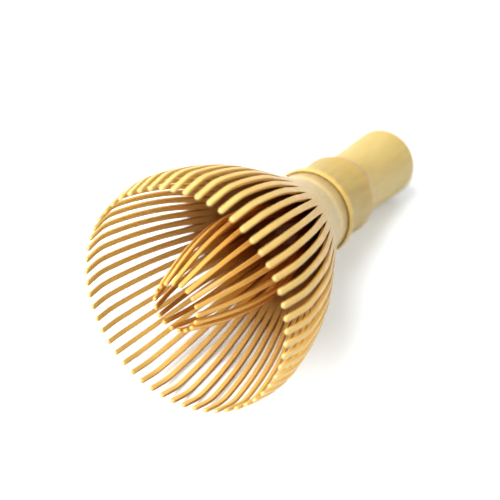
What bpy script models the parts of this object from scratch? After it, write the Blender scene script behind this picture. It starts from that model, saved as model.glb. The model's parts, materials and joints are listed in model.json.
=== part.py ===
"""Moulded tea whisk (chasen), lying level along the Y axis, in metres with +Z up.

The tines point towards -Y. The origin is the centre of the handle's flat end face, which looks along +Y.
Three mouldings nest in each other: the handle, the outer crown in its mouth, and the inner crown in the
outer one. Each crown's tines are cut into combs, and a comb is a body of its own, so that it can flex on
the thin wall at the roots of its slits. A comb's origin lies on that flex line.

Stations are distances from the end face towards the tines. Angles turn about Y, from +Z towards +X.
"""

import math
from collections.abc import Callable
from typing import NamedTuple

import bmesh
import bpy
from mathutils import Vector

GAP = 0.0003  # running gap between neighbouring pieces

# Handle
END_RADIUS = 0.0109
END_ROUND = 0.0016
WAIST_STATION, WAIST_RADIUS = 0.0235, 0.0101
NODE_STATION, NODE_RADIUS = 0.0345, 0.0121
NODE_HALF_RADII = 0.0116, 0.01195  # half way up the node, on its grip side and on its collar side
NOTCH_LENGTH, NOTCH_RADIUS = 0.0036, 0.0107  # hollow between the grip and the node
COLLAR_RADIUS = 0.0116
LIP_STATION, LIP_RADIUS, LIP_HALF_LENGTH = 0.0491, 0.0131, 0.0018  # the lip's crest, a half ellipse
LIP_EDGE = 0.00015  # thickness of its front edge
RECESS_DEPTH = 0.0012
SOCKET_RADIUS, SOCKET_DEPTH = 0.0097, 0.0150
BORE_RADIUS, END_WALL = 0.0074, 0.0024

# Outer crown
OUTER_TINES, OUTER_COMBS = 55, 11
OUTER_PHASE = math.radians(3.96)
TIP_STATION, TIP_RADIUS = 0.1150, 0.0290
BELLY_STATION, BELLY_RADIUS = 0.1065, 0.03035
SHOULDER_STATION, SHOULDER_RADIUS = 0.0895, 0.0268
OUTER_ROOT_STATION, OUTER_ROOT_RADIUS = 0.0720, 0.01925
THROAT_STATION, THROAT_RADIUS, THROAT_WALL = 0.0570, 0.0129, 0.0038
RIM_STATION, RIM_RADIUS = 0.0540, 0.0125  # where the funnel ends in a small step
SKIRT_RADIUS, SKIRT_PLAY = 0.01215, 0.0004
NECK_WALL = 0.0014
OUTER_TIP_WIDTH, OUTER_TIP_THICKNESS = 0.0014, 0.0009
NECK_BORE_RADIUS = 0.0070

# Inner crown
INNER_TINES, INNER_COMBS = 18, 6
INNER_PHASE = math.radians(8.0)
BUD_STATION, BUD_RADIUS = 0.1173, 0.0064
BUD_SWELL_STATION, BUD_SWELL_RADIUS = 0.1035, 0.0102
INNER_BELLY_STATION, INNER_BELLY_RADIUS = 0.0890, 0.0122
INNER_WAIST_STATION, INNER_WAIST_RADIUS = 0.0780, 0.0115
INNER_ROOT_STATION, INNER_ROOT_RADIUS = 0.0690, 0.0094
HUB_WALL = 0.0015
HUB_STATION, HUB_FLOOR = 0.0595, 0.0020  # where the stem ends and the hub's cup begins
INNER_TIP_WIDTH, INNER_TIP_THICKNESS = 0.00115, 0.0009
STEM_LENGTH = 0.0270

# Combs
BAND_LENGTH = 0.0015  # unslit wall between the slit roots and the flex line
TINE_STEPS = 7
STEP_CROWDING = 1.4  # above 1, a tine's sections lie closer together towards its curved tip
TAPER_POWER = 3  # above 1, a tine loses most of its width and thickness near its root

# Mesh
HANDLE_SEGMENTS = 48
ARC_STEPS = 4
OUTLINE_STEPS = 6
SLOPE_STEP = 0.0001
WELD = 1e-6
SHARP_EDGE = math.radians(40)

RESIN_LIGHT = (0.86, 0.66, 0.32)
RESIN_AMBER = (0.78, 0.55, 0.22)
RESIN_TAN = (0.72, 0.56, 0.30)
RESIN_PALE = (0.80, 0.68, 0.44)
HANDLE_ROUGHNESS, NECK_ROUGHNESS, TINE_ROUGHNESS = 0.45, 0.5, 0.4


class Crown(NamedTuple):
    """A ring of tines, cut into combs, and the wall that they grow from."""

    profile: Callable[[float], float]  # the outside's radius at a station
    root: float
    tip: float
    wall: float
    tines: int
    combs: int
    phase: float
    tip_width: float
    tip_thickness: float

    @property
    def pitch(self):
        return math.tau / self.tines

    @property
    def comb_tines(self):
        return self.tines // self.combs

    @property
    def mouth(self):
        """Station where the unslit moulding ends, a gap behind the combs."""
        return self.root - BAND_LENGTH - GAP

    @property
    def flex_line(self):
        """Station and radius of the middle of the wall, half way across that gap."""
        station = self.mouth + GAP / 2
        return station, self.profile(station) - self.wall / 2


def clear_scene():
    for item in list(bpy.data.objects):
        bpy.data.objects.remove(item, do_unlink=True)


def resin(name, colour, roughness):
    """One moulded resin colour as a Principled material."""
    material = bpy.data.materials.new(name)
    material.use_nodes = True
    surface = material.node_tree.nodes["Principled BSDF"]
    surface.inputs["Base Color"].default_value = (*colour, 1.0)
    surface.inputs["Roughness"].default_value = roughness
    surface.inputs["Metallic"].default_value = 0.0
    return material


def spline_through(points):
    """Radius as a smooth function of station, through (station, radius) points: a Catmull-Rom spline."""
    stations = [station for station, _ in points]
    radii = [radius for _, radius in points]

    def slope(index):
        low, high = max(index - 1, 0), min(index + 1, len(points) - 1)
        return (radii[high] - radii[low]) / (stations[high] - stations[low])

    def radius_at(station):
        index = max(i for i in range(len(points) - 1) if i == 0 or stations[i] <= station)
        span = stations[index + 1] - stations[index]
        t = (station - stations[index]) / span
        rise = radii[index + 1] - radii[index]
        start, end = slope(index) * span, slope(index + 1) * span
        curve = (start + end - 2 * rise) * t**3 + (3 * rise - 2 * start - end) * t**2
        return radii[index] + start * t + curve

    return radius_at


def wall_at(profile, station, thickness):
    """The outer and inner (station, radius) of a wall, measured square to its outline."""
    rise = profile(station + SLOPE_STEP) - profile(station - SLOPE_STEP)
    normal = Vector((-rise, 2 * SLOPE_STEP)).normalized()
    outer = Vector((station, profile(station)))
    return outer, outer - thickness * normal


def finished_mesh(name, shape, material):
    """Turns a bmesh into a smooth-shaded mesh whose faces all look outwards."""
    bmesh.ops.recalc_face_normals(shape, faces=shape.faces)
    if shape.calc_volume(signed=True) < 0:
        bmesh.ops.reverse_faces(shape, faces=shape.faces)
    mesh = bpy.data.meshes.new(name)
    shape.to_mesh(mesh)
    shape.free()
    mesh.shade_smooth()
    mesh.set_sharp_from_angle(angle=SHARP_EDGE)
    mesh.materials.append(material)
    return mesh


def new_object(name, mesh, parent):
    piece = bpy.data.objects.new(name, mesh)
    bpy.context.scene.collection.objects.link(piece)
    piece.parent = parent
    return piece


def turned(name, outline, segments, material, parent):
    """A solid turned about Y from an outline of (station, radius) points.

    The outline either starts and ends on the axis or is closed from its last point to its first.
    """
    shape = bmesh.new()
    corners = [shape.verts.new((0.0, -station, radius)) for station, radius in outline]
    edges = [shape.edges.new(pair) for pair in zip(corners, corners[1:])]
    if outline[0][1] > 0:
        edges.append(shape.edges.new((corners[-1], corners[0])))
    bmesh.ops.spin(shape, geom=corners + edges, axis=(0, 1, 0), cent=(0, 0, 0),
                   angle=math.tau, steps=segments, use_merge=True)
    bmesh.ops.remove_doubles(shape, verts=shape.verts, dist=WELD)
    return new_object(name, finished_mesh(name, shape, material), parent)


def rounded(centre, half_length, height, start, end):
    """Points on an ellipse's arc in an outline, with angles in degrees from the station axis."""
    turns = [math.radians(start + (end - start) * i / ARC_STEPS) for i in range(ARC_STEPS + 1)]
    return [(centre[0] + half_length * math.cos(a), centre[1] + height * math.sin(a)) for a in turns]


def sampled(profile, start, end):
    stations = [start + (end - start) * i / OUTLINE_STEPS for i in range(OUTLINE_STEPS + 1)]
    return [(station, profile(station)) for station in stations]


def grip_outline():
    """From the end face's centre over the waist to the node and the collar."""
    notch = NODE_STATION - NOTCH_LENGTH
    grip = spline_through([
        (END_ROUND, END_RADIUS), (WAIST_STATION, WAIST_RADIUS), (notch, NOTCH_RADIUS),
    ])
    return [
        (0.0, 0.0),
        *rounded((END_ROUND, END_RADIUS - END_ROUND), END_ROUND, END_ROUND, 180, 90),
        *sampled(grip, END_ROUND, notch)[1:],
        (NODE_STATION - NOTCH_LENGTH / 2, NODE_HALF_RADII[0]),
        (NODE_STATION, NODE_RADIUS),
        (NODE_STATION + NOTCH_LENGTH / 2, NODE_HALF_RADII[1]),
        (NODE_STATION + 2 * NOTCH_LENGTH, COLLAR_RADIUS),
    ]


def lip_front():
    """The angle on the lip's half ellipse, in degrees, and the station where its front edge lies."""
    rise = (SKIRT_RADIUS + SKIRT_PLAY + LIP_EDGE - COLLAR_RADIUS) / (LIP_RADIUS - COLLAR_RADIUS)
    angle = math.asin(rise)
    return math.degrees(angle), LIP_STATION + LIP_HALF_LENGTH * math.cos(angle)


def mouth_outline():
    """From the collar round the lip, and back down the recess, the socket and the bore."""
    angle, front = lip_front()
    recess = front - RECESS_DEPTH
    return [
        *rounded((LIP_STATION, COLLAR_RADIUS), LIP_HALF_LENGTH, LIP_RADIUS - COLLAR_RADIUS, 180, angle),
        (front, SKIRT_RADIUS + SKIRT_PLAY),
        (recess, SKIRT_RADIUS + SKIRT_PLAY),
        (recess, SOCKET_RADIUS),
        (recess - SOCKET_DEPTH, SOCKET_RADIUS),
        (recess - SOCKET_DEPTH, BORE_RADIUS),
        (END_WALL, BORE_RADIUS),
        (END_WALL, 0.0),
    ]


def neck_outline(crown):
    """The outer crown's unslit neck: a funnel that ends in a skirt, with a spigot for the handle's socket."""
    mouth_outer, mouth_inner = wall_at(crown.profile, crown.mouth, crown.wall)
    skirt_end = lip_front()[1] - RECESS_DEPTH + GAP
    spigot_end = skirt_end - SOCKET_DEPTH + GAP
    return [
        (RIM_STATION, SKIRT_RADIUS),
        *sampled(crown.profile, RIM_STATION, mouth_outer[0]),
        (mouth_outer[0], mouth_inner[1]),
        (THROAT_STATION, THROAT_RADIUS - THROAT_WALL),
        (RIM_STATION, NECK_BORE_RADIUS),
        (spigot_end, NECK_BORE_RADIUS),
        (spigot_end, SOCKET_RADIUS - GAP),
        (skirt_end, SOCKET_RADIUS - GAP),
        (skirt_end, SKIRT_RADIUS),
    ]


def hub_outline(crown):
    """The inner crown's unslit cup, with a solid stem for the neck's bore."""
    mouth_outer, mouth_inner = wall_at(crown.profile, crown.mouth, crown.wall)
    stem_radius = NECK_BORE_RADIUS - GAP
    return [
        (crown.mouth - STEM_LENGTH, 0.0),
        (crown.mouth - STEM_LENGTH, stem_radius),
        (HUB_STATION, stem_radius),
        (crown.mouth, mouth_outer[1]),
        (crown.mouth, mouth_inner[1]),
        (HUB_STATION + HUB_FLOOR, stem_radius - crown.wall),
        (HUB_STATION + HUB_FLOOR, 0.0),
    ]


def turned_point(point, angle, origin):
    """A (station, radius) point turned about the whisk's axis, seen from a point of its zero plane."""
    station, radius = point
    return Vector((radius * math.sin(angle), origin[0] - station, radius * math.cos(angle) - origin[1]))


def root_band(shape, crown):
    """Adds a comb's strip of unslit wall and returns its front faces, one for each tine."""
    half_gap = GAP / 2 / crown.profile(crown.root)
    turns = [(k - crown.comb_tines / 2) * crown.pitch for k in range(crown.comb_tines + 1)]
    turns[0] += half_gap
    turns[-1] -= half_gap
    outer, inner = wall_at(crown.profile, crown.root, crown.wall)
    back = crown.mouth + GAP
    drop = crown.profile(crown.root) - crown.profile(back)
    section = [(back, outer[1] - drop), tuple(outer), tuple(inner), (back, inner[1] - drop)]
    rows = [
        [shape.verts.new(turned_point(corner, angle, crown.flex_line)) for angle in turns]
        for corner in section
    ]
    for low, high in zip(rows, rows[1:] + rows[:1]):
        for k in range(crown.comb_tines):
            shape.faces.new((low[k], low[k + 1], high[k + 1], high[k]))
    shape.faces.new([row[0] for row in rows])
    shape.faces.new([row[-1] for row in reversed(rows)])
    front = set(rows[1] + rows[2])
    return [face for face in shape.faces if set(face.verts) <= front]


def tine_section(crown, station, width, thickness, angle):
    """The four corners of one tine's cross-section."""
    outer, inner = (
        turned_point(corner, angle, crown.flex_line)
        for corner in wall_at(crown.profile, station, thickness)
    )
    sideways = Vector((math.cos(angle), 0.0, -math.sin(angle))) * width / 2
    return [outer - sideways, outer + sideways, inner + sideways, inner - sideways]


def move_face(face, corners):
    """Moves a face onto new corners, each vertex to the one that lies the same way from the middle."""
    old_middle = face.calc_center_median()
    new_middle = sum(corners, Vector()) / len(corners)
    for vert in face.verts:
        expected = vert.co - old_middle + new_middle
        target = min(corners, key=lambda corner: (corner - expected).length)
        corners.remove(target)
        vert.co = target


def comb_mesh(name, crown, material):
    """A root band with its tines drawn out of the band's front faces."""
    shape = bmesh.new()
    faces = root_band(shape, crown)
    root_width = crown.pitch * crown.profile(crown.root)
    for step in range(1, TINE_STEPS + 1):
        share = 1 - (1 - step / TINE_STEPS) ** STEP_CROWDING
        station = crown.root + (crown.tip - crown.root) * share
        taper = 1 - (1 - share) ** TAPER_POWER
        width = root_width + (crown.tip_width - root_width) * taper
        thickness = crown.wall + (crown.tip_thickness - crown.wall) * taper
        faces = bmesh.ops.extrude_discrete_faces(shape, faces=faces)["faces"]
        for k, face in enumerate(faces):
            angle = (k + 0.5 - crown.comb_tines / 2) * crown.pitch
            move_face(face, tine_section(crown, station, width, thickness, angle))
    return finished_mesh(name, shape, material)


def place_combs(prefix, crown, material, parent):
    mesh = comb_mesh(f"{prefix}_comb", crown, material)
    station, radius = crown.flex_line
    for index in range(crown.combs):
        middle_tine = index * crown.comb_tines + (crown.comb_tines - 1) / 2
        angle = crown.phase + middle_tine * crown.pitch
        comb = new_object(f"{prefix}_{index + 1:02d}", mesh, parent)
        comb.rotation_euler = (0.0, angle, 0.0)
        comb.location = (radius * math.sin(angle), -station, radius * math.cos(angle))


def outer_crown():
    profile = spline_through([
        (RIM_STATION, RIM_RADIUS),
        (THROAT_STATION, THROAT_RADIUS),
        (OUTER_ROOT_STATION, OUTER_ROOT_RADIUS),
        (SHOULDER_STATION, SHOULDER_RADIUS),
        (BELLY_STATION, BELLY_RADIUS),
        (TIP_STATION, TIP_RADIUS),
    ])
    return Crown(profile, OUTER_ROOT_STATION, TIP_STATION, NECK_WALL, OUTER_TINES, OUTER_COMBS,
                 OUTER_PHASE, OUTER_TIP_WIDTH, OUTER_TIP_THICKNESS)


def inner_crown():
    profile = spline_through([
        (INNER_ROOT_STATION, INNER_ROOT_RADIUS),
        (INNER_WAIST_STATION, INNER_WAIST_RADIUS),
        (INNER_BELLY_STATION, INNER_BELLY_RADIUS),
        (BUD_SWELL_STATION, BUD_SWELL_RADIUS),
        (BUD_STATION, BUD_RADIUS),
    ])
    return Crown(profile, INNER_ROOT_STATION, BUD_STATION, HUB_WALL, INNER_TINES, INNER_COMBS,
                 INNER_PHASE, INNER_TIP_WIDTH, INNER_TIP_THICKNESS)


def build():
    clear_scene()
    axis = bpy.data.objects.new("whisk_axis", None)
    bpy.context.scene.collection.objects.link(axis)
    outer, inner = outer_crown(), inner_crown()
    turned("handle", grip_outline() + mouth_outline(), HANDLE_SEGMENTS,
           resin("handle_resin", RESIN_TAN, HANDLE_ROUGHNESS), axis)
    turned("outer_crown_neck", neck_outline(outer), OUTER_TINES,
           resin("neck_resin", RESIN_PALE, NECK_ROUGHNESS), axis)
    turned("inner_crown_hub", hub_outline(inner), 2 * INNER_TINES,
           resin("hub_resin", RESIN_AMBER, NECK_ROUGHNESS), axis)
    place_combs("outer_tines", outer, resin("outer_tine_resin", RESIN_LIGHT, TINE_ROUGHNESS), axis)
    place_combs("inner_tines", inner, resin("inner_tine_resin", RESIN_AMBER, TINE_ROUGHNESS), axis)


build()
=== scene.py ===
"""Looks of the moulded tea whisk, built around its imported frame.

Every visible piece is a fine mesh drawn through the corners of its CAD node, so it has the node's place and
size. Stations are distances from the handle's flat end towards the tines, which is -Y, and angles turn about
Y from +Z towards +X. Lengths are in metres.
"""

import json
import math

import bmesh
import bpy
import numpy as np
from mathutils import Matrix, Vector

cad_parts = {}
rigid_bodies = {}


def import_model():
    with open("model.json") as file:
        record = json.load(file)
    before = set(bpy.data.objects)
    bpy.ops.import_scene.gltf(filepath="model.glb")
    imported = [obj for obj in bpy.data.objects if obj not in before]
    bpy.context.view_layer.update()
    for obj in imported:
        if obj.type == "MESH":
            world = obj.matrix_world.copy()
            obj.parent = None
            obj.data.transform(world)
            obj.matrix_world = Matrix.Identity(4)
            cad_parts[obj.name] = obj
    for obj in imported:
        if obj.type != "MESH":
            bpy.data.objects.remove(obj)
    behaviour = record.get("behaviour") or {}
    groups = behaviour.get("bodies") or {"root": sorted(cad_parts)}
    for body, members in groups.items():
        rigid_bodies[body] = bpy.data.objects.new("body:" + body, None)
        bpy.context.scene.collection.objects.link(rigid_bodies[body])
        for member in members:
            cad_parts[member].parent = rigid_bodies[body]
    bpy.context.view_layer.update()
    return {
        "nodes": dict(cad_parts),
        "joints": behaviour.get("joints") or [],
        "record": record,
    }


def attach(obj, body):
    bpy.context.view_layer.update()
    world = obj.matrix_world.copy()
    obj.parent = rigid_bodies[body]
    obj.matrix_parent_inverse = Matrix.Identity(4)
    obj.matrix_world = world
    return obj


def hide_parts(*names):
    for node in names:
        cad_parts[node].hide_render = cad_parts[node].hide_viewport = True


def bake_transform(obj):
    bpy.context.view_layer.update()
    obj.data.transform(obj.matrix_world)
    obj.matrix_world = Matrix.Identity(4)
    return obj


# Combs
OUTER_COMB_TINES, INNER_COMB_TINES = 5, 3
FACE_POINTS = (-1.0, -0.82, -0.45, 0.0, 0.45, 0.82, 1.0)  # across a tine's outer or inner face
SIDE_POINTS = (1.0, 0.55, 0.0, -0.55, -1.0)  # down its side
SECTION_SPACING = 0.0011  # CAD cross-sections lie further apart than this, the corners of one don't
BORDER_SHARE = 0.02  # of the pitch: a band's corners on the border between two tines lie this close to it
TINE_SHARE = 0.47  # of the pitch: the middle tine's own corners lie this close to its middle
TINE_ROWS = 30
ROW_CROWDING = 0.45  # rows stand closer at the root: 0 is evenly spaced, 1 is fully quadratic
TIP_ROWS = 5
TIP_TURN = math.radians(78)  # the rounding of a tip goes this far, and a small flat cap closes it
BAND_ROWS = 4
ROUNDED_AFTER = 0.012  # from its root, a tine's corners are fully rounded after this length
ROUNDING_POWER = 0.7  # below 1, most of the rounding comes early
WEDGE_LENGTH = 0.006  # a tine is a wedge of the wall at its root, and straight-sided after this length
OUTER_CORNER, INNER_CORNER = 7.0, 5.0  # superellipse powers of a tine's outer and inner half
COMB_WELD = 2e-6

# Turned pieces
OUTLINE_STEP = 0.0003
SHARP_TURN = math.radians(38)
SHORT_RATIO = 3  # a segment is short beside one that is more than this many times longer
CORNER_ROUND = 0.00018
CAD_TOLERANCE = 1e-6
AXIS_WELD = 1e-7
COLLAR_RADIUS = 0.0118  # about the handle's radius where the groove is
HANDLE_COLUMNS = 288
HUB_COLUMNS = 108

# The one short groove in the handle's node
GROOVE_STATIONS = 0.0334, 0.0402
GROOVE_TURN = math.radians(56.9)
GROOVE_WIDTH, GROOVE_DEPTH = 0.00085, 0.00028
GROOVE_LEAN = 0.6  # below 1, the deepest place lies nearer the groove's start
GROOVE_COLUMNS = 10  # fine columns to its width
GROOVE_REACH = 6  # fine columns on each side of its middle line

SHADED_SHARP = math.radians(50)  # faces that meet at more than this are shaded with an edge

# Colours of the resins, as (station, linear RGB) bands
HANDLE_BANDS = (
    (0.0000, (0.40, 0.285, 0.083)),
    (0.0030, (0.47, 0.342, 0.101)),
    (0.0280, (0.48, 0.352, 0.112)),
    (0.0315, (0.50, 0.345, 0.106)),
    (0.0345, (0.43, 0.278, 0.074)),
    (0.0390, (0.38, 0.270, 0.080)),
    (0.0465, (0.40, 0.290, 0.086)),
    (0.0488, (0.51, 0.345, 0.098)),
    (0.0503, (0.55, 0.370, 0.090)),
)
OUTER_BANDS = (
    (0.0490, (0.54, 0.380, 0.140)),
    (0.0535, (0.60, 0.450, 0.195)),
    (0.0545, (0.55, 0.425, 0.205)),
    (0.0640, (0.55, 0.420, 0.205)),
    (0.0720, (0.57, 0.390, 0.155)),
    (0.0840, (0.59, 0.375, 0.107)),
    (0.1000, (0.62, 0.400, 0.098)),
    (0.1150, (0.60, 0.405, 0.122)),
)
# The two darkest bands, at the inner crown's roots deep inside the outer crown, are painted shade.
INNER_BANDS = (
    (0.0600, (0.20, 0.090, 0.020)),
    (0.0700, (0.32, 0.140, 0.030)),
    (0.0800, (0.54, 0.265, 0.046)),
    (0.0950, (0.60, 0.320, 0.054)),
    (0.1170, (0.63, 0.360, 0.075)),
)
EDGE_COLOUR = (0.86, 0.70, 0.42)
DEEP_PAINTED_SHADE, SHALLOW_PAINTED_SHADE = (0.27, 0.080, 0.014), (1.0, 0.88, 0.60)  # painted shade: multiplies a hollow's colour, darkest where shade falls deepest
HOLLOW_REACH = 0.020  # a surface with others this near in front of it is a hollow's, and gets painted shade
HOLLOW_SHARES = 0.14, 0.74  # open share of the view at which a hollow's painted shade is at its deepest, and ends
OUTWARD_SHARES = 0.1, 0.6  # how far a surface looks outwards when it starts to count as outside, and does

# Detail of the resins
MOTTLE_SCALE, FLOW_SCALE, SPECK_SCALE, SHEEN_SCALE = 95, 900, 2600, 420  # features to a metre
FLOW_STRETCH = (1, 0.06, 1)
NOISE_SPAN = 0.3, 0.7  # most of a noise lies between these
# the second, lower specular level is painted shade in hollows that hides their reflections
SHEEN, SHADED_HOLLOW_SHEEN = 0.45, 0.05
BUMP_STRENGTH, BUMP_DEPTH = 0.22, 0.00006

# Camera and stage
CAMERA_PLACE = Vector((0.1171, -0.3006, 0.1333))
CAMERA_LOOK = Vector((-0.41864, 0.77681, -0.47044))
CAMERA_LENS = 77.76
CAMERA_STOP = 12
FOCUS = Vector((0.004, -0.090, 0.010))
HEEL_LENGTH = 0.003  # the handle's rounded end edge lies within this station
FLOOR_SIDE = 6.0
FLOOR_GAP = 0.00002
FLOOR_COLOURS = (0.78, 0.82, 0.85), (0.80, 0.83, 0.85)
FLOOR_GRAIN_SCALE = 30
FLOOR_GLOW, ROOM_LIGHT = 0.24, 0.78
KEY_WATTS, KEY_SIZE, KEY_DISTANCE = 22.5, 1.05, 0.9
KEY_LEFT, KEY_NEAR = 0.72, 0.3  # for each unit above the whisk


def corners(node, angle=0.0):
    """A CAD node's corners as arrays: station, offset across the plane at an angle, and radius in it."""
    points = np.array([v.co for v in frame["nodes"][node].data.vertices], float)
    x, y, z = points.T
    return -y, x * math.cos(angle) - z * math.sin(angle), x * math.sin(angle) + z * math.cos(angle)


def spline(knots, rows):
    """A smooth function through rows of numbers at increasing knots: cubic pieces with central slopes."""
    knots, rows = np.asarray(knots, float), np.asarray(rows, float)
    slopes = np.gradient(rows, knots, axis=0)

    def at(places):
        places = np.asarray(places, float)
        i = np.clip(np.searchsorted(knots, places, side="right") - 1, 0, len(knots) - 2)
        span = knots[i + 1] - knots[i]
        t = (places - knots[i]) / span
        if rows.ndim > 1:
            t, span = t[:, None], span[:, None]
        return ((1 + 2 * t) * (1 - t) ** 2 * rows[i] + t * (1 - t) ** 2 * span * slopes[i]
                + t * t * (3 - 2 * t) * rows[i + 1] - t * t * (1 - t) * span * slopes[i + 1])

    return at


def new_piece(name, points, faces, weld):
    """A smooth-shaded mesh object, with points nearer than weld merged and its faces turned outwards."""
    mesh = bpy.data.meshes.new(name)
    mesh.from_pydata([tuple(p) for p in points], [], faces)
    shape = bmesh.new()
    shape.from_mesh(mesh)
    bmesh.ops.remove_doubles(shape, verts=shape.verts, dist=weld)
    bmesh.ops.recalc_face_normals(shape, faces=shape.faces)
    if shape.calc_volume(signed=True) < 0:
        bmesh.ops.reverse_faces(shape, faces=shape.faces)
    shape.to_mesh(mesh)
    shape.free()
    mesh.shade_smooth()
    mesh.set_sharp_from_angle(angle=SHADED_SHARP)
    piece = bpy.data.objects.new(name, mesh)
    bpy.context.scene.collection.objects.link(piece)
    return piece


# ---------------------------------------------------------------------------- combs


def section_groups(node, angle, chosen):
    """Means of a CAD comb's chosen corners, one row for each cross-section, from root to tip.

    A row holds the outer station, radius and half width, and then the inner ones.
    """
    station, across, radius = corners(node, angle)
    picked = chosen(np.abs(np.arctan2(across, radius)))
    points = np.c_[station, radius, np.abs(across)][picked]
    points = points[np.argsort(points[:, 0])]
    cuts = np.flatnonzero(np.diff(points[:, 0]) > SECTION_SPACING) + 1
    rows = []
    for group in np.split(points, cuts):
        high = group[:, 1] > (group[:, 1].max() + group[:, 1].min()) / 2
        rows.append(np.r_[group[high].mean(axis=0), group[~high].mean(axis=0)])
    return np.array(rows)


def comb_sections(node, angle, pitch):
    """A comb's root section and its middle tine's sections, as rows of section_groups."""
    band = section_groups(node, angle, lambda turn: np.abs(turn - pitch / 2) < BORDER_SHARE * pitch)
    tine = section_groups(node, angle, lambda turn: turn < TINE_SHARE * pitch)
    root = band[-1].copy()
    root[[1, 4]] /= math.cos(pitch / 2)
    return np.vstack([root, tine])


def loop_points():
    """The corners of a tine's loop on the unit square: over the outer face, and back over the inner one."""
    outer = [(a, 1.0) for a in FACE_POINTS]
    right = [(1.0, b) for b in SIDE_POINTS[1:]]
    inner = [(-a, -1.0) for a in FACE_POINTS[1:]]
    left = [(-1.0, -b) for b in SIDE_POINTS[1:-1]]
    return np.array(outer + right + inner + left)


def rounded_loop(loop, share):
    """The unit square's loop, drawn in towards a superellipse by a share from 0 to 1."""
    power = np.where(loop[:, 1] > 0, OUTER_CORNER, INNER_CORNER)
    shrink = (np.abs(loop[:, 0]) ** power + np.abs(loop[:, 1]) ** power) ** (-1 / power)
    return loop * (1 - share + share * shrink)[:, None]


def tine_rows(sections):
    """Rows of a tine from root to tip: distance along it, section, and scales of width and thickness."""
    path = np.r_[0, np.cumsum(np.hypot(*np.diff(sections[:, :2], axis=0).T))]
    curve = spline(path, sections)
    tip_round = sections[-1, 2]
    share = np.linspace(0, 1, TINE_ROWS)
    along = (path[-1] - tip_round) * (ROW_CROWDING * share**2 + (1 - ROW_CROWDING) * share)
    turn = np.linspace(0, TIP_TURN, TIP_ROWS + 1)[1:]
    places = np.r_[along, path[-1] - tip_round + tip_round * np.sin(turn)]
    widths = np.r_[np.ones(TINE_ROWS), np.cos(turn)]
    return places, curve(places), widths, np.sqrt(widths)


def tine_points(sections, pitch):
    """All loops of a tine in its own middle plane, as (across, station, radius) in rows of loops."""
    loop = loop_points()
    rows = []
    for place, section, width, thickness in zip(*tine_rows(sections)):
        a, b = rounded_loop(loop, min(place / ROUNDED_AFTER, 1.0) ** ROUNDING_POWER).T
        b = b * thickness
        outwards = (1 + b[:, None]) / 2
        station, radius, half = (section[:3] * outwards + section[3:] * (1 - outwards)).T
        wedge = max(1 - place / WEDGE_LENGTH, 0.0)
        turn = a * pitch / 2
        across = wedge * radius * np.sin(turn) + (1 - wedge) * a * half * width
        radius = wedge * radius * np.cos(turn) + (1 - wedge) * radius
        rows.append(np.c_[across, station, radius])
    return np.array(rows)


def turned_points(points, angle):
    """(across, station, radius) points of the plane at an angle, in the frame."""
    across, station, radius = points[..., 0], points[..., 1], points[..., 2]
    return np.stack([
        across * math.cos(angle) + radius * math.sin(angle),
        -station,
        radius * math.cos(angle) - across * math.sin(angle),
    ], axis=-1)


def tube_faces(rows, count, first):
    """Quads between successive loops, and a cap on the last loop."""
    faces = [
        (first + r * count + j, first + r * count + (j + 1) % count,
         first + (r + 1) * count + (j + 1) % count, first + (r + 1) * count + j)
        for r in range(rows - 1) for j in range(count)
    ]
    return faces + [tuple(first + (rows - 1) * count + j for j in range(count))]


def grid_faces(rows, columns, first):
    """Quads of a sheet whose points lie in rows."""
    return [
        (first + r * columns + c, first + r * columns + c + 1,
         first + (r + 1) * columns + c + 1, first + (r + 1) * columns + c)
        for r in range(rows - 1) for c in range(columns - 1)
    ]


def comb_turns(tines, pitch):
    """The angles of a band's columns, from the comb's middle."""
    middles = [(k - (tines - 1) / 2) * pitch for k in range(tines)]
    turns = [middle + a * pitch / 2 for middle in middles for a in FACE_POINTS[:-1]]
    return np.array(turns + [tines * pitch / 2])


def wall_sheet(stations, radii, turns):
    """A sheet of the crown's wall as (across, station, radius), in rows of equal station."""
    return np.array([
        [(r * math.sin(t), s, r * math.cos(t)) for t in turns] for s, r in zip(stations, radii)
    ])


def band_sheets(sections, profile, mouth_inner, tines, pitch):
    """The sheets that close a comb's root band: its outside, inside, two ends and back."""
    stations = np.linspace(mouth_inner[0], sections[0, 0], BAND_ROWS)
    outer_line = np.c_[stations, profile(stations)]
    inner_line = np.linspace(mouth_inner, sections[0, 3:5], BAND_ROWS)
    turns = comb_turns(tines, pitch)
    sheets = [wall_sheet(*outer_line.T, turns), wall_sheet(*inner_line.T, turns)]
    down = (1 - np.array(SIDE_POINTS)) / 2
    for end in (turns[0], turns[-1]):
        lines = [o * (1 - down)[:, None] + i * down[:, None] for o, i in zip(outer_line, inner_line)]
        sheets.append(np.array([wall_sheet(*line.T, [end])[:, 0] for line in lines]))
    sheets.append(np.array([sheets[0][0], sheets[1][0]]))
    return sheets


def comb_geometry(sections, profile, mouth_inner, tines, pitch):
    """Points, in the comb's middle plane, and faces of a whole comb."""
    points, faces = [], []
    tine = tine_points(sections, pitch)
    for k in range(tines):
        middle = (k - (tines - 1) / 2) * pitch
        faces += tube_faces(len(tine), tine.shape[1], sum(map(len, points)))
        x, y, z = turned_points(tine, middle).reshape(-1, 3).T
        points.append(np.c_[x, -y, z])
    for sheet in band_sheets(sections, profile, mouth_inner, tines, pitch):
        faces += grid_faces(sheet.shape[0], sheet.shape[1], sum(map(len, points)))
        points.append(sheet.reshape(-1, 3))
    return np.vstack(points), faces


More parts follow.
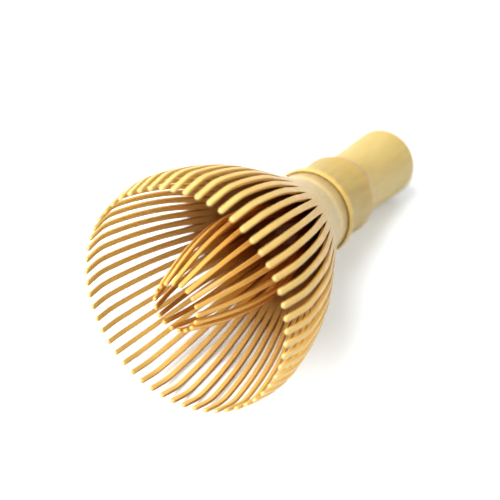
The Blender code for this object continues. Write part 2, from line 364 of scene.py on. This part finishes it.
def build_combs(prefix, crown_outline, tines, material):
    """One piece for each CAD comb, whose outside runs smoothly from its crown moulding's outline into the
    comb's own sections.

    crown_outline is that of the moulding the combs belong to. Returns the tines' pitch and the angle of the
    first comb's middle.
    """
    nodes = sorted(n for n in frame["nodes"] if n.startswith(prefix))
    pitch = math.tau / (len(nodes) * tines)
    joints = {frame["record"]["behaviour"]["bodies"][j["child"]][0]: j for j in frame["joints"]}
    angles = {n: math.atan2(joints[n]["pos_m"][0], joints[n]["pos_m"][2]) for n in nodes}
    sections = comb_sections(nodes[0], angles[nodes[0]], pitch)
    outside = np.vstack([outside_run(crown_outline), sections[:, :2]])
    mouth = mouth_corner(crown_outline)
    inner = crown_outline[(mouth + 1) % len(crown_outline)]
    points, faces = comb_geometry(sections, spline(*outside.T), inner, tines, pitch)
    for node in nodes:
        name = node.replace("tines", "comb")
        piece = new_piece(name, turned_points(points, angles[node]), faces, COMB_WELD)
        piece.data.materials.append(material)
        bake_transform(piece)
        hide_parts(node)
    return pitch, angles[nodes[0]]


# ---------------------------------------------------------------------------- turned pieces


def meridian(node):
    """The closed or axis-to-axis outline of a turned CAD node, as (station, radius) points in order."""
    shape = bmesh.new()
    shape.from_mesh(frame["nodes"][node].data)
    bmesh.ops.remove_doubles(shape, verts=shape.verts, dist=CAD_TOLERANCE)
    on_plane = {v for v in shape.verts if abs(v.co.x) < CAD_TOLERANCE and v.co.z > -CAD_TOLERANCE}
    neighbours = {
        v: [e.other_vert(v) for e in v.link_edges if e.other_vert(v) in on_plane] for v in on_plane
    }
    ends = [v for v in on_plane if len(neighbours[v]) == 1]
    start = min(ends or on_plane, key=lambda v: (-v.co.y, v.co.z))
    walk, seen = [start], {start}
    while True:
        following = [v for v in neighbours[walk[-1]] if v not in seen]
        if not following:
            break
        walk.append(max(following, key=lambda v: v.co.z) if len(walk) == 1 else following[0])
        seen.add(walk[-1])
    outline = [(-v.co.y, v.co.z) for v in walk]
    shape.free()
    if ends:
        outline = [(outline[0][0], 0.0), *outline, (outline[-1][0], 0.0)]
    return np.array(outline), not ends


def turn_at(before, here, after):
    """The angle, without a sign, by which an outline turns at a point."""
    one, two = here - before, after - here
    return abs(math.atan2(one[0] * two[1] - one[1] * two[0], one @ two))


def with_shoulders(run):
    """Adds points on long segments beside short ones, so that a curve bends only near the short ones."""
    lengths = np.hypot(*np.diff(run, axis=0).T)
    places = []
    for i, length in enumerate(lengths):
        places.append(i)
        if i > 0 and lengths[i - 1] < length / SHORT_RATIO:
            places.append(i + lengths[i - 1] / length)
        if i + 1 < len(lengths) and lengths[i + 1] < length / SHORT_RATIO:
            places.append(i + 1 - lengths[i + 1] / length)
    places.append(len(lengths))
    index = np.arange(len(run))
    return np.c_[np.interp(places, index, run[:, 0]), np.interp(places, index, run[:, 1])]


def smooth_run(run):
    """A finely sampled curve through one run of an outline that has no sharp corner inside it."""
    if len(run) < 3:
        return run
    run = with_shoulders(run)
    path = np.r_[0, np.cumsum(np.hypot(*np.diff(run, axis=0).T))]
    steps = max(int(path[-1] / OUTLINE_STEP), 2)
    return spline(path, run)(np.linspace(0, path[-1], steps + 1))


def mouth_corner(outline):
    """Index of the outer corner of a crown moulding's mouth."""
    return int(np.lexsort((outline[:, 1], outline[:, 0]))[-1])


def outside_run(outline):
    """The outline's points on the outside of a crown moulding, up to its mouth."""
    last = first = mouth_corner(outline)
    while last - first < 1 or turn_at(*outline[first - 1:first + 2]) < SHARP_TURN:
        first -= 1
    return outline[first:last + 1]


def fine_outline(outline, closed, open_mouth):
    """An outline with smooth curves between its sharp corners, and those corners slightly rounded.

    The corners of an open mouth stay sharp, because the combs go on from there.
    """
    mouth = outline[:, 0].max() if open_mouth else math.inf
    count = len(outline)
    sharp = [
        i for i in range(count)
        if (not closed and i in (0, count - 1))
        or turn_at(outline[i - 1], outline[i], outline[(i + 1) % count]) > SHARP_TURN
    ]
    if closed:
        outline = np.vstack([outline[sharp[0]:], outline[:sharp[0] + 1]])
        sharp = [i - sharp[0] for i in sharp] + [count]
    runs = [smooth_run(outline[i:j + 1]) for i, j in zip(sharp, sharp[1:])]
    points = []
    for k, run in enumerate(runs):
        starts_rounded = (closed or k > 0) and run[0, 0] < mouth
        ends_rounded = (closed or k < len(runs) - 1) and run[-1, 0] < mouth
        points += list(trimmed(run, starts_rounded, ends_rounded))
    return np.array(points)


def trimmed(run, at_start, at_end):
    """A run whose sharp ends are cut back a little, which rounds the corner between two runs."""
    path = np.r_[0, np.cumsum(np.hypot(*np.diff(run, axis=0).T))]
    cut = min(CORNER_ROUND, path[-1] / 3)  # a short run keeps at least its middle third
    low, high = cut if at_start else 0.0, path[-1] - (cut if at_end else 0.0)
    inner = path[(path > low + cut / 2) & (path < high - cut / 2)]
    places = np.r_[low, inner, high]
    return np.c_[np.interp(places, path, run[:, 0]), np.interp(places, path, run[:, 1])]


def turned_piece(name, outline, closed, turns, relief=None):
    """A solid turned from an outline, with a relief in radius added as a function of station and angle."""
    points, faces, columns = [], [], len(turns)
    rows = len(outline)
    for station, radius in outline:
        for turn in turns:
            raised = radius + (relief(station, turn) if relief and radius > 0 else 0.0)
            points.append((raised * math.sin(turn), -station, raised * math.cos(turn)))
    for row in range(rows if closed else rows - 1):
        low, high = row * columns, (row + 1) % rows * columns
        faces += [(low + c, low + (c + 1) % columns, high + (c + 1) % columns, high + c)
                  for c in range(columns)]
    return new_piece(name, points, faces, AXIS_WELD)


def even_turns(count):
    """Angles that divide a full turn evenly."""
    return [math.tau * c / count for c in range(count)]


def handle_turns():
    """Even columns, with fine ones across the groove."""
    reach = GROOVE_REACH * GROOVE_WIDTH / GROOVE_COLUMNS / COLLAR_RADIUS
    fine = np.linspace(-reach, reach, 2 * GROOVE_REACH + 1) + GROOVE_TURN
    return sorted([t for t in even_turns(HANDLE_COLUMNS) if abs(t - GROOVE_TURN) > reach] + list(fine))


def groove(station, turn):
    """Change in the handle's radius: one short, shallow groove, tapering towards the lip."""
    start, end = GROOVE_STATIONS
    along = (station - start) / (end - start)
    across = (turn - GROOVE_TURN) * COLLAR_RADIUS / GROOVE_WIDTH
    if not 0 < along < 1 or abs(across) > 0.5:
        return 0.0
    return -GROOVE_DEPTH * math.sin(math.pi * along**GROOVE_LEAN) * math.cos(math.pi * across) ** 2


def build_turned(name, node, turns, open_mouth, material, relief=None):
    """The fine piece that stands for a turned CAD node, on the handle's body."""
    outline, closed = meridian(node)
    piece = turned_piece(name, fine_outline(outline, closed, open_mouth), closed, turns, relief)
    piece.data.materials.append(material)
    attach(piece, "handle")
    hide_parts(node)


# ---------------------------------------------------------------------------- materials


class Looks:
    """A material and short calls for building its node tree."""

    def __init__(self, name):
        self.material = bpy.data.materials.new(name)
        self.material.use_nodes = True
        self.tree = self.material.node_tree
        self.surface = self.tree.nodes["Principled BSDF"]
        self.place = self.add("TexCoord").outputs["Object"]

    def add(self, kind, inputs=None, **settings):
        """A new shader node, with its settings made and its inputs fed."""
        node = self.tree.nodes.new("ShaderNode" + kind)
        for name, value in settings.items():
            setattr(node, name, value)
        for key, value in (inputs or {}).items():
            self.feed(node.inputs[key], value)
        return node

    def feed(self, socket, value):
        """Links an output to a socket, or sets the socket's own value."""
        if isinstance(value, bpy.types.NodeSocket):
            self.tree.links.new(value, socket)
        else:
            socket.default_value = value

    def math(self, operation, one, two=0.0):
        return self.add("Math", {0: one, 1: two}, operation=operation).outputs[0]

    def ranged(self, value, low, high, to_low, to_high):
        """A value's range mapped to another one, and kept inside it."""
        inputs = {"Value": value, "From Min": low, "From Max": high, "To Min": to_low, "To Max": to_high}
        return self.add("MapRange", inputs).outputs["Result"]

    def noise(self, scale, detail=2.0, stretch=(1, 1, 1), offset=(0, 0, 0)):
        """Noise from 0 to 1, with features about 1 / scale metres in size."""
        place = self.add("Mapping", {"Vector": self.place, "Scale": stretch, "Location": offset})
        inputs = {"Vector": place.outputs["Vector"], "Scale": scale, "Detail": detail}
        return self.add("TexNoise", inputs).outputs["Fac"]

    def outward(self):
        """How far the surface looks away from the whisk's axis: 1 fully, and -1 where it looks at it."""
        across = self.add("VectorMath", {0: self.place, 1: (1.0, 0.0, 1.0)}, operation="MULTIPLY").outputs[0]
        away = self.add("VectorMath", {0: across}, operation="NORMALIZE").outputs[0]
        facing = self.add("TexCoord").outputs["Normal"]
        return self.add("VectorMath", {0: away, 1: facing}, operation="DOT_PRODUCT").outputs["Value"]

    def mix(self, share, one, two, blend="MIX"):
        """Colour one with a share of colour two blended into it."""
        node = self.add("Mix", data_type="RGBA", blend_type=blend)
        for socket, value in zip((node.inputs[0], node.inputs[6], node.inputs[7]), (share, one, two)):
            self.feed(socket, (*value, 1.0) if isinstance(value, tuple) else value)
        return node.outputs[2]

    def banded(self, bands):
        """A colour that follows the station through (station, colour) bands."""
        along = self.add("SeparateXYZ", {0: self.place}).outputs["Y"]
        first, last = bands[0][0], bands[-1][0]
        ramp = self.add("ValToRGB", {"Fac": self.ranged(along, -first, -last, 0.0, 1.0)})
        stops = ramp.color_ramp.elements
        while len(stops) < len(bands):
            stops.new(0.5)
        for stop, (station, colour) in zip(stops, bands):
            stop.position = (station - first) / (last - first)
            stop.color = (*colour, 1.0)
        return ramp.outputs["Color"]


def resin_looks(name, bands, warm, stretch, roughness, hollow_shade, outside):
    """Satin moulded resin: banded colour, mottle, flow lines, paler edges, painted shade in hollows and a
    fine bump.

    The mottle multiplies the colour by warm. Painted shade darkens the colour in hollows and lowers their
    sheen.
    A surface that looks outwards takes the painted shade only by the share called outside.
    """
    looks = Looks(name)
    mottle = looks.noise(MOTTLE_SCALE, 2.0, stretch)
    flow = looks.noise(FLOW_SCALE, 3.0, FLOW_STRETCH, (0.3, 0.1, 0.7))
    speck = looks.noise(SPECK_SCALE, 1.0, offset=(0.9, 0.2, 0.4))
    colour = looks.mix(looks.ranged(mottle, 0.38, 0.66, 0.0, 0.45), looks.banded(bands), warm, "MULTIPLY")
    lines = looks.ranged(flow, *NOISE_SPAN, 0.93, 1.06)
    tone = looks.math("ADD", lines, looks.ranged(speck, *NOISE_SPAN, -0.03, 0.03))
    grey = looks.add("CombineColor", {0: tone, 1: tone, 2: tone}).outputs[0]
    colour = looks.mix(1.0, colour, grey, "MULTIPLY")
    edge = looks.add("NewGeometry").outputs["Pointiness"]
    colour = looks.mix(looks.ranged(edge, 0.52, 0.60, 0.0, 0.22), colour, EDGE_COLOUR)
    # painted shade: ambient occlusion darkens the colour where other surfaces stand near
    open_share = looks.add("AmbientOcclusion", {"Distance": HOLLOW_REACH}, samples=6).outputs["AO"]
    facing = looks.ranged(looks.outward(), *OUTWARD_SHARES, 1.0, outside)
    depth = looks.math("MULTIPLY", looks.ranged(open_share, *HOLLOW_SHARES, 1.0, 0.0), facing)
    shade_tint = looks.add("CombineColor", {i: looks.math("POWER", part, depth) for i, part in enumerate(hollow_shade)})
    colour = looks.mix(1.0, colour, shade_tint.outputs[0], "MULTIPLY")
    looks.feed(looks.surface.inputs["Base Color"], colour)
    worn = looks.noise(SHEEN_SCALE, 2.0, stretch)
    rough = looks.ranged(worn, *NOISE_SPAN, roughness - 0.07, roughness + 0.09)
    looks.feed(looks.surface.inputs["Roughness"], rough)
    # painted shade: the specular level drops in hollows, so they show no reflection
    sheen = looks.ranged(depth, 0.2, 0.9, SHEEN, SHADED_HOLLOW_SHEEN)
    looks.feed(looks.surface.inputs["Specular IOR Level"], sheen)
    height = looks.math("ADD", looks.math("MULTIPLY", flow, 0.7), looks.math("MULTIPLY", speck, 0.5))
    bump = looks.add("Bump", {"Height": height, "Strength": BUMP_STRENGTH, "Distance": BUMP_DEPTH})
    looks.feed(looks.surface.inputs["Normal"], bump.outputs["Normal"])
    return looks.material


def floor_looks():
    """White paper that looks a little brighter to the camera than it is, and is clear from below."""
    looks = Looks("floor_paper")
    grain = looks.ranged(looks.noise(FLOOR_GRAIN_SCALE), *NOISE_SPAN, 0.0, 1.0)
    looks.feed(looks.surface.inputs["Base Color"], looks.mix(grain, *FLOOR_COLOURS))
    looks.feed(looks.surface.inputs["Roughness"], 0.95)
    looks.feed(looks.surface.inputs["Specular IOR Level"], 0.1)
    glow = looks.math("MULTIPLY", looks.add("LightPath").outputs["Is Camera Ray"], FLOOR_GLOW)
    looks.feed(looks.surface.inputs["Emission Color"], (1, 1, 1, 1))
    looks.feed(looks.surface.inputs["Emission Strength"], glow)
    behind = looks.add("NewGeometry").outputs["Backfacing"]
    clear = looks.add("BsdfTransparent").outputs[0]
    mixed = looks.add("MixShader", {0: behind, 1: looks.surface.outputs[0], 2: clear})
    looks.feed(looks.tree.nodes["Material Output"].inputs["Surface"], mixed.outputs[0])
    return looks.material


# ---------------------------------------------------------------------------- stage


def floor_tilt():
    """The handle's heel, as station and radius, and the slope of a floor that touches heel and crown."""
    station, _, radius = corners("handle")
    end = station < HEEL_LENGTH
    heel_radius = radius[end].max()
    heel_station = station[end & (radius > heel_radius - CAD_TOLERANCE)].max()
    slopes = []
    for node in frame["nodes"]:
        if node.startswith("outer_tines"):
            s, _, r = corners(node)
            slopes.append(((-r - heel_radius) / (s - heel_station)).max())
    return heel_station, heel_radius, math.atan(max(slopes))


def build_floor():
    """The floor under the whisk as it lies, and its upward direction."""
    heel_station, heel_radius, tilt = floor_tilt()
    place = (0, -heel_station, -heel_radius - FLOOR_GAP)
    bpy.ops.mesh.primitive_plane_add(size=FLOOR_SIDE, location=place, rotation=(tilt, 0, 0))
    floor = bpy.context.object
    floor.name = "floor"
    floor.data.materials.append(floor_looks())
    return Vector((0, -math.sin(tilt), math.cos(tilt)))


def build_camera(up):
    """The camera at the whisk's tine end, focused on the near side of its crown."""
    data = bpy.data.cameras.new("camera")
    data.lens = CAMERA_LENS
    data.sensor_width = 36
    data.clip_start, data.clip_end = 0.01, 20
    camera = bpy.data.objects.new("camera", data)
    bpy.context.scene.collection.objects.link(camera)
    look = CAMERA_LOOK.normalized()
    right = look.cross(up).normalized()
    true_up = right.cross(look)
    turn = Matrix((right, true_up, -look)).transposed()
    camera.matrix_world = Matrix.Translation(CAMERA_PLACE) @ turn.to_4x4()
    focus = bpy.data.objects.new("focus", None)
    focus.location = FOCUS
    bpy.context.scene.collection.objects.link(focus)
    data.dof.use_dof = True
    data.dof.focus_object = focus
    data.dof.aperture_fstop = CAMERA_STOP
    bpy.context.scene.camera = camera


def build_lights(up):
    """A white room, and one large soft lamp above the whisk, to its left as the camera sees it."""
    world = bpy.data.worlds.new("studio")
    world.use_nodes = True
    nodes, links = world.node_tree.nodes, world.node_tree.links
    seen = nodes.new("ShaderNodeLightPath").outputs["Is Camera Ray"]
    strength = nodes.new("ShaderNodeMapRange")
    strength.inputs["To Min"].default_value = ROOM_LIGHT
    links.new(seen, strength.inputs["Value"])
    links.new(strength.outputs["Result"], nodes["Background"].inputs["Strength"])
    nodes["Background"].inputs["Color"].default_value = (1, 1, 1, 1)
    bpy.context.scene.world = world
    look = CAMERA_LOOK.normalized()
    right = look.cross(up).normalized()
    ahead = up.cross(right)
    direction = (up - right * KEY_LEFT - ahead * KEY_NEAR).normalized()
    data = bpy.data.lights.new("key", "AREA")
    data.shape = "DISK"
    data.size = KEY_SIZE
    data.energy = KEY_WATTS
    key = bpy.data.objects.new("key", data)
    bpy.context.scene.collection.objects.link(key)
    key.location = FOCUS + direction * KEY_DISTANCE
    key.rotation_euler = (-direction).to_track_quat("-Z", "Y").to_euler()


for item in list(bpy.data.objects):
    bpy.data.objects.remove(item, do_unlink=True)
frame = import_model()

tan = resin_looks(
    "handle_resin_looks", HANDLE_BANDS, warm=(0.92, 0.86, 0.72), stretch=(1, 0.4, 1),
    roughness=0.44, hollow_shade=SHALLOW_PAINTED_SHADE, outside=0.0,
)
cream = resin_looks(
    "outer_crown_resin_looks", OUTER_BANDS, warm=(0.96, 0.88, 0.74), stretch=(1, 0.5, 1),
    roughness=0.42, hollow_shade=DEEP_PAINTED_SHADE, outside=0.0,
)
amber = resin_looks(
    "inner_crown_resin_looks", INNER_BANDS, warm=(0.95, 0.84, 0.66), stretch=(1, 0.5, 1),
    roughness=0.42, hollow_shade=DEEP_PAINTED_SHADE, outside=1.0,
)

build_turned("handle_body", "handle", handle_turns(), False, tan, relief=groove)
neck_outline, _ = meridian("outer_crown_neck")
outer_pitch, outer_angle = build_combs("outer_tines", neck_outline, OUTER_COMB_TINES, cream)
neck_turns = comb_turns(round(math.tau / outer_pitch), outer_pitch)[:-1] + outer_angle
build_turned("crown_neck", "outer_crown_neck", neck_turns, True, cream)
hub_outline, _ = meridian("inner_crown_hub")
build_combs("inner_tines", hub_outline, INNER_COMB_TINES, amber)
build_turned("inner_hub", "inner_crown_hub", even_turns(HUB_COLUMNS), True, amber)

up = build_floor()
build_camera(up)
build_lights(up)
bpy.context.scene.view_settings.view_transform = "Standard"
